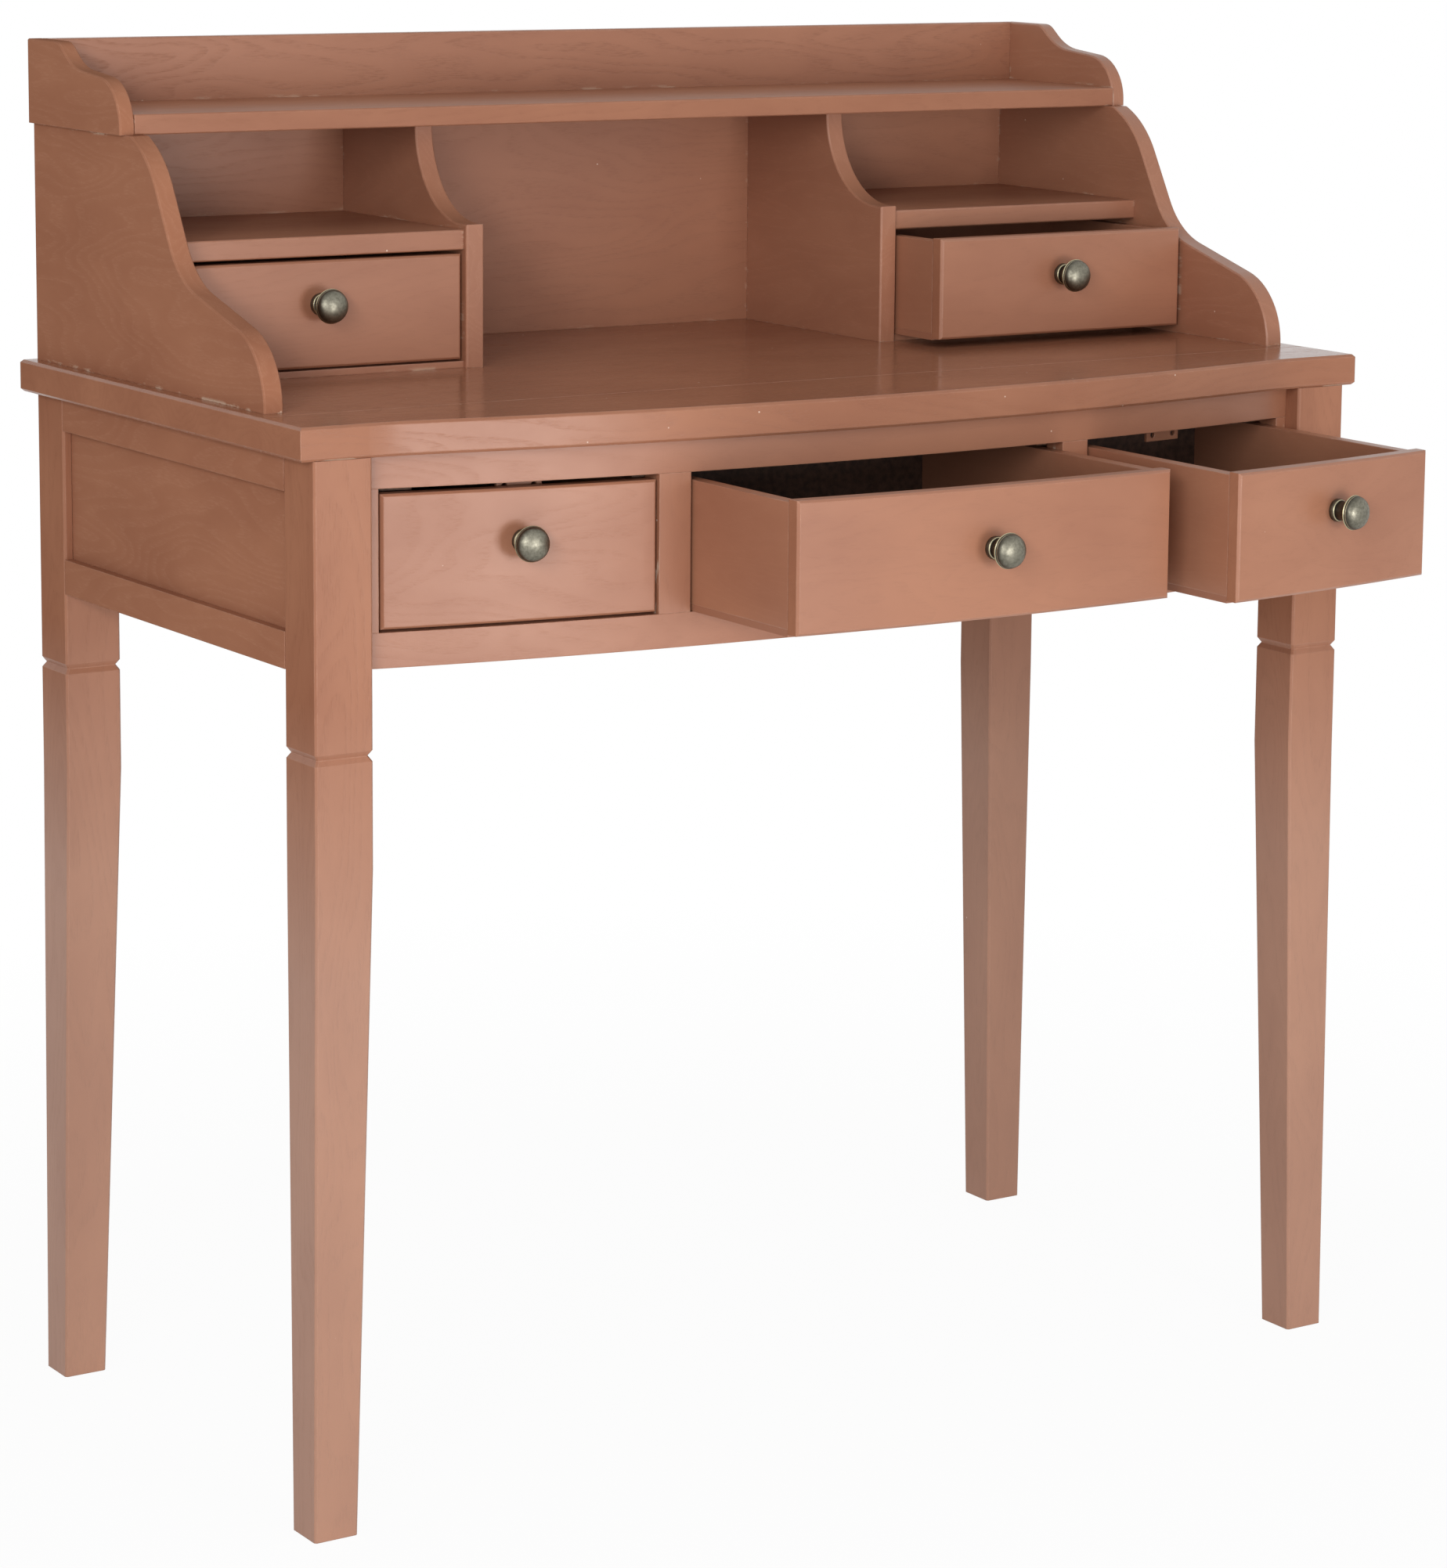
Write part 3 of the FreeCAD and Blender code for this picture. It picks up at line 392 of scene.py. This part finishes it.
class DeskPaint(bpy.types.PropertyGroup):
    """Paint, wear and stain of the boards."""

    paint: FloatVectorProperty(
        name="Paint", description="Terracotta of the boards", default=linear("#A57157"), size=4,
        subtype="COLOR")
    paint_dark: FloatVectorProperty(
        name="Paint, thin", description="Where the coat lies darker", default=linear("#99664E"), size=4,
        subtype="COLOR")
    pore: FloatVectorProperty(
        name="Pores", description="Sunken pores of the ash", default=linear("#5E3A2A"), size=4,
        subtype="COLOR")
    # painted glint: paler pores for boards along Y, standing in for light glinting along them
    pore_painted_glint: FloatVectorProperty(
        name="Pores, pale", description="Pores where light falls along them", default=linear("#C9977C"),
        size=4, subtype="COLOR")
    # part abraded paint, part painted highlight: the paler colour along edges
    edge: FloatVectorProperty(
        name="Rubbed edge", description="Paler paint along edges", default=linear("#D6A68F"), size=4,
        subtype="COLOR")
    primer: FloatVectorProperty(
        name="Primer", description="Bare primer in the joints", default=linear("#DCC8B2"), size=4,
        subtype="COLOR")
    # dust nibs, and also the pale of the painted floor reflection on the uprights
    speck_and_floor_reflection: FloatVectorProperty(
        name="Specks", description="Dust nibs", default=linear("#E3CDBD"), size=4, subtype="COLOR")
    # painted shade: the dark stained wood inside the drawers stands in for the shade in their depth
    shade_stain: FloatVectorProperty(
        name="Stain", description="Stain inside the drawers", default=linear("#5A4438"), size=4,
        subtype="COLOR")
    shade_stain_dark: FloatVectorProperty(
        name="Stain, dark", description="Stain in the late wood", default=linear("#3E2E26"), size=4,
        subtype="COLOR")
    # partly painted shade: runners and kickers are stained darker so they sink into the carcass's shade
    frame_wood: FloatVectorProperty(
        name="Frame wood", description="Runners and kickers", default=linear("#6E4F3A"), size=4,
        subtype="COLOR")
    frame_wood_dark: FloatVectorProperty(
        name="Frame wood, dark", description="Late wood of the runners", default=linear("#543A2A"), size=4,
        subtype="COLOR")
    gloss: FloatProperty(
        name="Roughness", description="Roughness of the satin coat", default=0.36, min=0.0, max=1.0)
    top_gloss: FloatProperty(
        name="Top roughness", description="Roughness of the writing surface", default=0.15, min=0.0, max=1.0)
    sheen: FloatProperty(
        name="Sheen", description="Specular level of the coat", default=0.42, min=0.0, max=1.0)
    side_sheen: FloatProperty(
        name="Side sheen", description="Specular level of the dull outer sides", default=0.0, min=0.0,
        max=1.0)
    leg_sheen: FloatProperty(
        name="Leg sheen", description="Specular level of the legs", default=0.25, min=0.0, max=1.0)
    top_sheen: FloatProperty(
        name="Top sheen", description="Specular level of the writing surface", default=0.20, min=0.0,
        max=1.0)
    # share of the edges' paler colour, part abraded paint and part painted highlight
    edge_wear_and_highlight: FloatProperty(
        name="Edge wear", description="Share of paler paint on edges", default=0.75, min=0.0, max=1.0,
        subtype="FACTOR")
    edge_width: FloatProperty(
        name="Edge width", description="Radius of a softened edge", default=0.0012, unit="LENGTH")
    speck_share: FloatProperty(
        name="Speck share", description="Share of cells with a nib", default=0.10, min=0.0, max=1.0,
        subtype="FACTOR")
    speck_spacing: FloatProperty(
        name="Speck spacing", description="Cell of one nib", default=0.022, unit="LENGTH")
    dust_share: FloatProperty(
        name="Dust share", description="Share of cells with a grain of dust", default=0.12, min=0.0, max=1.0,
        subtype="FACTOR")
    dust_spacing: FloatProperty(
        name="Dust spacing", description="Cell of one grain of dust", default=0.009, unit="LENGTH")
    pore_width: FloatProperty(
        name="Pore width", description="Width of a pore dash", default=0.0011, unit="LENGTH")
    ring_width: FloatProperty(
        name="Ring width", description="Spacing of the growth rings", default=0.0065, unit="LENGTH")


class DeskKnobs(bpy.types.PropertyGroup):
    """Size and metal of the knobs."""

    diameter: FloatProperty(name="Diameter", description="Across the rim", default=0.0261, unit="LENGTH")
    bow_radius: FloatProperty(
        name="Bow radius", description="Radius of the bowed drawer fronts", default=1.9941, unit="LENGTH")
    sides: IntProperty(name="Sides", description="Facets round a knob", default=56, min=8)
    metal: FloatVectorProperty(
        name="Pewter", description="Lit metal", default=linear("#8A8678"), size=4, subtype="COLOR")
    metal_dark: FloatVectorProperty(
        name="Pewter, dark", description="Mottled metal", default=linear("#6B685C"), size=4, subtype="COLOR")
    # bright rims: part abraded metal, part painted glint
    metal_bright: FloatVectorProperty(
        name="Pewter, rubbed", description="Rubbed rims", default=linear("#CFC49C"), size=4, subtype="COLOR")
    # patina in the hollows, and painted shade round the dome's edge
    metal_hollow_and_shade: FloatVectorProperty(
        name="Pewter, hollow", description="Antiquing in the hollows", default=linear("#26231E"), size=4,
        subtype="COLOR")


class DeskStage(bpy.types.PropertyGroup):
    """Camera, lamps and floor."""

    eye: FloatVectorProperty(
        name="Eye", description="Camera from the middle of the top's back edge",
        default=(-1.89764, -3.22789, 1.20233), subtype="TRANSLATION", unit="LENGTH")
    yaw: FloatProperty(
        name="Yaw", description="Turn of the camera to the right", default=math.radians(34.1385),
        subtype="ANGLE")
    pitch: FloatProperty(
        name="Pitch", description="Look downwards", default=math.radians(8.9892), subtype="ANGLE")
    roll: FloatProperty(
        name="Roll", description="Turn about the view", default=math.radians(-0.6953), subtype="ANGLE")
    lens: FloatProperty(name="Lens", description="Focal length in millimetres", default=105.965)
    shift_x: FloatProperty(name="Shift X", description="Lens shift across", default=-0.0768)
    shift_y: FloatProperty(name="Shift Y", description="Lens shift upwards", default=-0.1477)
    key: FloatProperty(name="Key", description="Watts of the front softbox", default=37.5, min=0.0)
    key_turn: FloatProperty(
        name="Key turn", description="Front softbox to the right of the desk's front",
        default=math.radians(4), subtype="ANGLE")
    key_distance: FloatProperty(
        name="Key distance", description="Front softbox from the desk's middle", default=3.2, unit="LENGTH")
    key_height: FloatProperty(
        name="Key height", description="Front softbox over the floor", default=0.6, unit="LENGTH")
    key_size: FloatVectorProperty(
        name="Key size", description="Width and height of the front softbox", default=(1.0, 1.0), size=2,
        unit="LENGTH")
    fill: FloatProperty(
        name="Fill", description="Watts of the softbox on the left", default=56.0, min=0.0)
    fill_turn: FloatProperty(
        name="Fill turn", description="Left softbox to the right of the desk's front",
        default=math.radians(-45), subtype="ANGLE")
    fill_distance: FloatProperty(
        name="Fill distance", description="Left softbox from the desk's middle", default=3.4, unit="LENGTH")
    fill_height: FloatProperty(
        name="Fill height", description="Left softbox over the floor", default=1.5, unit="LENGTH")
    fill_size: FloatVectorProperty(
        name="Fill size", description="Width and height of the left softbox", default=(0.5, 2.2), size=2,
        unit="LENGTH")
    ambient: FloatProperty(
        name="Ambient", description="Strength of the light all round", default=0.47, min=0.0)


class DESK_OT_writing_surface(bpy.types.Operator):
    """Paint the writing surface, glossier than the rest and a little dusty"""

    bl_idname = "desk.writing_surface"
    bl_label = "Paint the writing surface"

    def execute(self, context):
        look = context.scene.desk_paint
        enamel = painted_ash(
            "gloss_enamel_on_ash_top", look, "X", figure=0.8, sheen=look.top_sheen, dust=0.7,
            polish=look.top_gloss)
        dress(["desk_top"], enamel)
        return {"FINISHED"}


class DESK_OT_legs(bpy.types.Operator):
    """Paint the four legs, grain upright"""

    bl_idname = "desk.legs"
    bl_label = "Paint the legs"

    def execute(self, context):
        look = context.scene.desk_paint
        enamel = painted_ash("satin_enamel_on_ash_legs", look, "Z", figure=0.9, sheen=look.leg_sheen)
        dress(["leg_front_left", "leg_front_right", "leg_rear_left", "leg_rear_right"], enamel)
        return {"FINISHED"}


class DESK_OT_apron(bpy.types.Operator):
    """Paint the rails, dividers, side panels, rear apron and stop plates"""

    bl_idname = "desk.apron"
    bl_label = "Paint the apron frame"

    def execute(self, context):
        look = context.scene.desk_paint
        rails = painted_ash("satin_enamel_on_ash_rails", look, "X", figure=0.5, sheen=look.sheen)
        dress(["front_top_rail", "front_bottom_rail", "rear_apron", "drawer_stop_plates"], rails)
        uprights = painted_ash(
            "satin_enamel_on_ash_dividers", look, "Z", figure=0.5, sheen=look.sheen, dust=0.7)
        dress(["front_divider_left", "front_divider_right", "front_end_stiles"], uprights)
        sides = painted_ash("dull_enamel_on_ash_sides", look, "Y", figure=0.9, sheen=look.side_sheen)
        for side in ("left", "right"):
            dress(["side_top_rail_" + side, "side_bottom_rail_" + side, "side_panel_" + side], sides)
        return {"FINISHED"}


class DESK_OT_runners(bpy.types.Operator):
    """Stain the drawer runners and kickers dark brown, partly as painted shade inside the carcass"""

    bl_idname = "desk.runners"
    bl_label = "Finish the runners"

    def execute(self, context):
        look = context.scene.desk_paint
        pine = planed_pine("planed_pine_frame", look.frame_wood, look.frame_wood_dark)
        dress(["drawer_runners_outer", "drawer_runners_inner", "drawer_kickers"], pine)
        return {"FINISHED"}


class DESK_OT_hutch(bpy.types.Operator):
    """Paint the hutch and its gallery"""

    bl_idname = "desk.hutch"
    bl_label = "Paint the hutch"

    def execute(self, context):
        look = context.scene.desk_paint
        outer = painted_ash(
            "dull_enamel_on_ash_hutch", look, "Y", figure=0.9, sheen=look.side_sheen, dust=0.8)
        dress(["hutch_side_left", "gallery_side_left"], outer)
        inner = painted_ash(
            "satin_enamel_on_ash_hutch", look, "Y", figure=0.8, sheen=look.sheen, dust=0.35)
        dress(["hutch_side_right", "gallery_side_right", "hutch_divider_left", "hutch_divider_right"], inner)
        shelves = painted_ash(
            "satin_enamel_on_ash_shelves", look, "X", figure=0.7, sheen=look.sheen, dust=0.35)
        dress(["small_shelf_left", "small_shelf_right", "hutch_floors"], shelves)
        crown = painted_ash(
            "dull_enamel_on_ash_top_shelf", look, "X", figure=0.7, sheen=look.top_sheen, dust=0.5)
        dress(["hutch_top_shelf"], crown)
        back = painted_ash("satin_enamel_on_ash_back", look, "X", figure=1.0, sheen=look.sheen, dust=0.2)
        dress(["hutch_back"], back)
        gallery = painted_ash(
            "open_grained_enamel_on_ash_gallery", look, "X", figure=1.6, sheen=look.sheen, dust=0.3)
        dress(["gallery_back"], gallery)
        return {"FINISHED"}


class DESK_OT_drawers(bpy.types.Operator):
    """Paint the drawers; lower backs and bottoms' upper faces are stained dark, as painted shade inside"""

    bl_idname = "desk.drawers"
    bl_label = "Paint the drawers"

    def execute(self, context):
        look = context.scene.desk_paint
        fronts = painted_ash("satin_enamel_on_ash_drawer_fronts", look, "X", figure=0.5, sheen=look.sheen)
        sides = painted_ash("satin_enamel_on_ash_drawer_sides", look, "Y", figure=0.4, sheen=look.sheen)
        # painted shade: backs of the lower drawers and upper faces of all bottoms are stained dark for their
        # shade
        backs = planed_pine("stained_pine_drawer_backs", look.shade_stain, look.shade_stain_dark)
        bottoms = planed_pine("stained_pine_drawer_bottoms", look.shade_stain, look.shade_stain_dark, look.paint_dark)
        for drawer in DRAWERS:
            dress([drawer + "_drawer_front"], fronts)
            dress([drawer + "_drawer_sides"], sides)
            dress([drawer + "_drawer_back"], fronts if drawer.startswith("upper") else backs)
            dress([drawer + "_drawer_bottom"], bottoms)
        return {"FINISHED"}


class DESK_OT_knobs(bpy.types.Operator):
    """Turn a pewter knob for each drawer and set it square on the drawer's front"""

    bl_idname = "desk.knobs"
    bl_label = "Turn the knobs"

    def profile(self, scale):
        """Radius, height and metal level of each ring from the rosette to the edge of the dome, drawn in
        millimetres; a low level is patina and painted shade, one near 1 a bright rim, part abraded metal
        and part painted glint."""
        rings = [
            (8.3, 0.0, 0.15), (8.55, 0.9, 0.25), (8.6, 2.0, 0.35), (8.45, 3.2, 0.3), (8.2, 3.9, 0.4),
            (8.0, 4.3, 1.0), (7.7, 4.55, 0.5), (7.35, 4.75, 0.0), (7.1, 5.6, 0.05), (6.95, 7.5, 0.15),
            (6.9, 9.5, 0.2), (7.05, 11.5, 0.15), (7.6, 13.2, 0.05), (8.9, 14.7, 0.05), (10.7, 15.8, 0.1),
            (12.2, 16.5, 0.4), (12.85, 17.0, 0.85), (13.05, 17.5, 1.0), (12.85, 17.95, 0.7),
            (12.35, 18.3, 0.05), (12.25, 18.6, 0.05), (12.45, 18.95, 0.7), (12.55, 19.3, 0.9),
            (12.4, 19.65, 0.4), (12.2, 19.9, 0.1),
        ]
        return [(r * scale * MM, h * scale * MM, wear) for r, h, wear in rings]

    def dome(self, start, scale):
        """Rings of the dome over the edge ring, a flattened half ball, and the height of its tip."""
        radius, height, wear = start
        rise = DOME_RISE * scale * MM
        rings = []
        # painted shade: the dome's outer edge is painted dark, its metal level rising towards the crown
        for step in range(1, 10):
            turn = math.radians(10.0 * step - 2.0)
            level = height + rise * math.sin(turn)
            rings.append((radius * math.cos(turn), level, min(PLAIN_METAL, wear + 0.09 * step)))
        return rings, height + rise

    def turned(self, name, rings, tip, sides):
        """Lathe form: a disc drawn out ring by ring along Z and closed at its tip, with the rings' metal
        level, which carries patina, painted shade and painted glint.
        """
        bpy.ops.object.select_all(action="DESELECT")
        radius, height = rings[0][:2]
        bpy.ops.mesh.primitive_circle_add(
            vertices=sides, radius=radius, fill_type="NGON", location=(0, 0, height))
        piece = bpy.context.object
        piece.name = piece.data.name = name
        bpy.ops.object.transform_apply(location=True, rotation=True, scale=True)
        bpy.ops.object.mode_set(mode="EDIT")
        bpy.ops.mesh.select_all(action="SELECT")
        for (r0, h0, _), (r1, h1, _) in zip(rings, rings[1:]):
            bpy.ops.mesh.extrude_region_move(TRANSFORM_OT_translate={"value": (0, 0, h1 - h0)})
            bpy.ops.transform.resize(value=(r1 / r0, r1 / r0, 1.0), center_override=(0, 0, h1))
        bpy.ops.mesh.extrude_region_move(TRANSFORM_OT_translate={"value": (0, 0, tip - rings[-1][1])})
        bpy.ops.mesh.merge(type="CENTER")
        bpy.ops.mesh.select_all(action="SELECT")
        bpy.ops.mesh.normals_make_consistent(inside=False)
        bpy.ops.object.mode_set(mode="OBJECT")
        bpy.ops.object.shade_smooth_by_angle(angle=math.radians(40))
        wear = piece.data.attributes.new("wear", "FLOAT", "POINT")
        for vertex, mark in zip(piece.data.vertices, wear.data):
            mark.value = min(rings, key=lambda ring: abs(ring[1] - vertex.co.z))[2]
        return piece

    def place(self, drawer, knobs):
        """Matrix that sets a knob at the height of the CAD knob in the middle of a drawer's front, square to
        the bow."""
        low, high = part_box(drawer + "_drawer_front")
        middle = (low.x + high.x) / 2.0
        level = sum(corner.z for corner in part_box(drawer + "_drawer_knob")) / 2.0
        outwards = Matrix.Rotation(math.pi / 2, 4, "X")
        if drawer.startswith("upper"):
            return Matrix.Translation((middle, low.y, level)) @ outwards
        radius = knobs.bow_radius
        nearest = 0.0 if low.x < 0.0 < high.x else min(abs(low.x), abs(high.x))
        back = math.sqrt(radius ** 2 - nearest ** 2) - math.sqrt(radius ** 2 - middle ** 2)
        turn = Matrix.Rotation(math.asin(middle / radius), 4, "Z") @ outwards
        return Matrix.Translation((middle, low.y + back, level)) @ turn

    def execute(self, context):
        knobs = context.scene.desk_knobs
        scale = knobs.diameter / (KNOB_DRAWN * MM)
        rings = self.profile(scale)
        dome, tip = self.dome(rings[-1], scale)
        knob = self.turned("knob", rings + dome, tip, knobs.sides)
        # shank and head of the screw, radius and height behind the front in millimetres
        outline = (
            (2.0, -12.0), (2.0, 0.05), (4.25, 0.05), (4.25, 0.9), (4.0, 1.5), (3.2, 2.0), (1.8, 2.2),
        )
        shank = [(r * MM, -h * MM - FRONT_BOARD, PLAIN_METAL) for r, h in outline]
        self.turned("knob_screw", shank, -FRONT_BOARD - SCREW_HEAD, SCREW_SIDES)
        knob.select_set(True)
        context.view_layer.objects.active = knob
        bpy.ops.object.join()
        knob.data.materials.append(antiqued_pewter(knobs))
        for drawer in DRAWERS:
            copy = knob.copy()
            copy.data = knob.data.copy()
            copy.name = copy.data.name = drawer + "_knob_turned"
            context.scene.collection.objects.link(copy)
            copy.data.transform(self.place(drawer, knobs))
            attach(copy, drawer + "_drawer")
            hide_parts(drawer + "_drawer_knob")
        bpy.data.objects.remove(knob)
        return {"FINISHED"}


class DESK_OT_stage(bpy.types.Operator):
    """Set up the floor, the soft lamps and the camera"""

    bl_idname = "desk.stage"
    bl_label = "Set up the studio"

    def softbox(self, context, name, middle, turn, distance, height, size, watts):
        """Softbox at an angle to the right of the desk's front, facing the desk."""
        data = bpy.data.lights.new(name, "AREA")
        data.shape = "RECTANGLE"
        data.size, data.size_y = size
        data.energy = watts
        made = bpy.data.objects.new(name, data)
        context.scene.collection.objects.link(made)
        aside = Vector((math.sin(turn), -math.cos(turn), 0.0))
        made.location = middle + distance * aside + Vector((0.0, 0.0, height))
        made.rotation_euler = (-aside).to_track_quat("-Z", "Z").to_euler()

    def white_to_eye(self, tree):
        """1 for rays that show the background: straight, in gloss or through glass."""
        path = add(tree, "ShaderNodeLightPath").outputs
        glossy = add(tree, "ShaderNodeMath", [
            (0, path["Is Camera Ray"]), (1, path["Is Glossy Ray"]),
        ], operation="MAXIMUM").outputs[0]
        return add(tree, "ShaderNodeMath", [
            (0, glossy), (1, path["Is Transmission Ray"]),
        ], operation="MAXIMUM").outputs[0]

    def floor(self, context):
        bpy.ops.object.select_all(action="DESELECT")
        bpy.ops.mesh.primitive_plane_add(size=FLOOR_SIZE, location=(0, 0, -FLOOR_DROP))
        plane = context.object
        plane.name = plane.data.name = "studio_floor"
        material, tree, shader = new_material("pale_studio_floor")
        shader.inputs["Base Color"].default_value = linear("#EDEDED")
        shader.inputs["Roughness"].default_value = 0.9
        shader.inputs["Specular IOR Level"].default_value = 0.1
        glow = add(tree, "ShaderNodeEmission", [("Color", (1, 1, 1, 1)), ("Strength", 1.0)]).outputs[0]
        # the glow leaves the shadow by the feet and is whole further out, where the floor meets the backdrop
        place = add(tree, "ShaderNodeTexCoord").outputs["Object"]
        far = add(tree, "ShaderNodeVectorMath", [(0, place)], operation="LENGTH").outputs["Value"]
        part = add(tree, "ShaderNodeMapRange", [
            ("Value", far), ("From Min", GLOW_NEAR), ("From Max", GLOW_FAR),
            ("To Min", GLOW_BY_FEET), ("To Max", 1.0),
        ]).outputs[0]
        share = add(tree, "ShaderNodeMath", [
            (0, self.white_to_eye(tree)), (1, part),
        ], operation="MULTIPLY").outputs[0]
        mixed = add(tree, "ShaderNodeMixShader", [(0, share), (1, shader.outputs[0]), (2, glow)]).outputs[0]
        output = next(n for n in tree.nodes if n.type == "OUTPUT_MATERIAL")
        tree.links.new(mixed, output.inputs["Surface"])
        plane.data.materials.append(material)

    def world(self, context, stage):
        world = bpy.data.worlds.new("white_studio")
        context.scene.world = world
        world.use_nodes = True
        tree = world.node_tree
        background = next(n for n in tree.nodes if n.type == "BACKGROUND")
        background.inputs["Color"].default_value = (1, 1, 1, 1)
        strength = add(tree, "ShaderNodeMapRange", [
            ("Value", self.white_to_eye(tree)), ("To Min", stage.ambient), ("To Max", 1.0),
        ]).outputs[0]
        tree.links.new(strength, background.inputs["Strength"])

    def camera(self, context, stage, origin):
        data = bpy.data.cameras.new("photo_camera")
        data.sensor_width = SENSOR_WIDTH
        data.lens = stage.lens
        data.shift_x = stage.shift_x
        data.shift_y = stage.shift_y
        data.clip_end = CLIP_END
        made = bpy.data.objects.new("photo_camera", data)
        context.scene.collection.objects.link(made)
        level = math.cos(stage.pitch)
        ahead = Vector((math.sin(stage.yaw) * level, math.cos(stage.yaw) * level, -math.sin(stage.pitch)))
        across = Vector((math.cos(stage.yaw), -math.sin(stage.yaw), 0.0))
        down = ahead.cross(across)
        right = math.cos(stage.roll) * across + math.sin(stage.roll) * down
        lower = -math.sin(stage.roll) * across + math.cos(stage.roll) * down
        turn = Matrix((right, -lower, -ahead)).transposed().to_4x4()
        made.matrix_world = Matrix.Translation(origin + Vector(stage.eye)) @ turn
        context.scene.camera = made

    def execute(self, context):
        stage = context.scene.desk_stage
        low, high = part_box("desk_top")
        origin = Vector(((low.x + high.x) / 2.0, high.y, 0.0))
        self.floor(context)
        self.world(context, stage)
        middle = (Vector(CAD_BOX[0]) + Vector(CAD_BOX[1])) / 2.0
        middle.z = 0.0
        self.softbox(
            context, "front_softbox", middle, stage.key_turn, stage.key_distance, stage.key_height,
            stage.key_size, stage.key)
        self.softbox(
            context, "left_softbox", middle, stage.fill_turn, stage.fill_distance, stage.fill_height,
            stage.fill_size, stage.fill)
        self.camera(context, stage, origin)
        context.scene.view_settings.view_transform = "Standard"
        return {"FINISHED"}


class DESK_PT_panel(bpy.types.Panel):
    """Steps and values of the desk"""

    bl_idname = "DESK_PT_panel"
    bl_label = "Writing desk"
    bl_space_type = "VIEW_3D"
    bl_region_type = "UI"
    bl_category = "Desk"

    def draw(self, context):
        for step in STEPS:
            self.layout.operator(step.bl_idname)
        for group in (context.scene.desk_paint, context.scene.desk_knobs, context.scene.desk_stage):
            column = self.layout.column()
            for key in group.bl_rna.properties.keys():
                if key not in {"rna_type", "name"}:
                    column.prop(group, key)


STEPS = (
    DESK_OT_writing_surface, DESK_OT_legs, DESK_OT_apron, DESK_OT_runners, DESK_OT_hutch, DESK_OT_drawers,
    DESK_OT_knobs, DESK_OT_stage,
)
GROUPS = (("desk_paint", DeskPaint), ("desk_knobs", DeskKnobs), ("desk_stage", DeskStage))


def register():
    for key, group in GROUPS:
        bpy.utils.register_class(group)
        setattr(bpy.types.Scene, key, PointerProperty(type=group))
    for step in STEPS + (DESK_PT_panel,):
        bpy.utils.register_class(step)


def unregister():
    for step in reversed(STEPS + (DESK_PT_panel,)):
        bpy.utils.unregister_class(step)
    for key, group in reversed(GROUPS):
        delattr(bpy.types.Scene, key)
        bpy.utils.unregister_class(group)


def main():
    register()
    bpy.ops.desk.writing_surface()
    bpy.ops.desk.legs()
    bpy.ops.desk.apron()
    bpy.ops.desk.runners()
    bpy.ops.desk.hutch()
    bpy.ops.desk.drawers()
    bpy.ops.desk.knobs()
    bpy.ops.desk.stage()


if __name__ == "__main__":
    main()
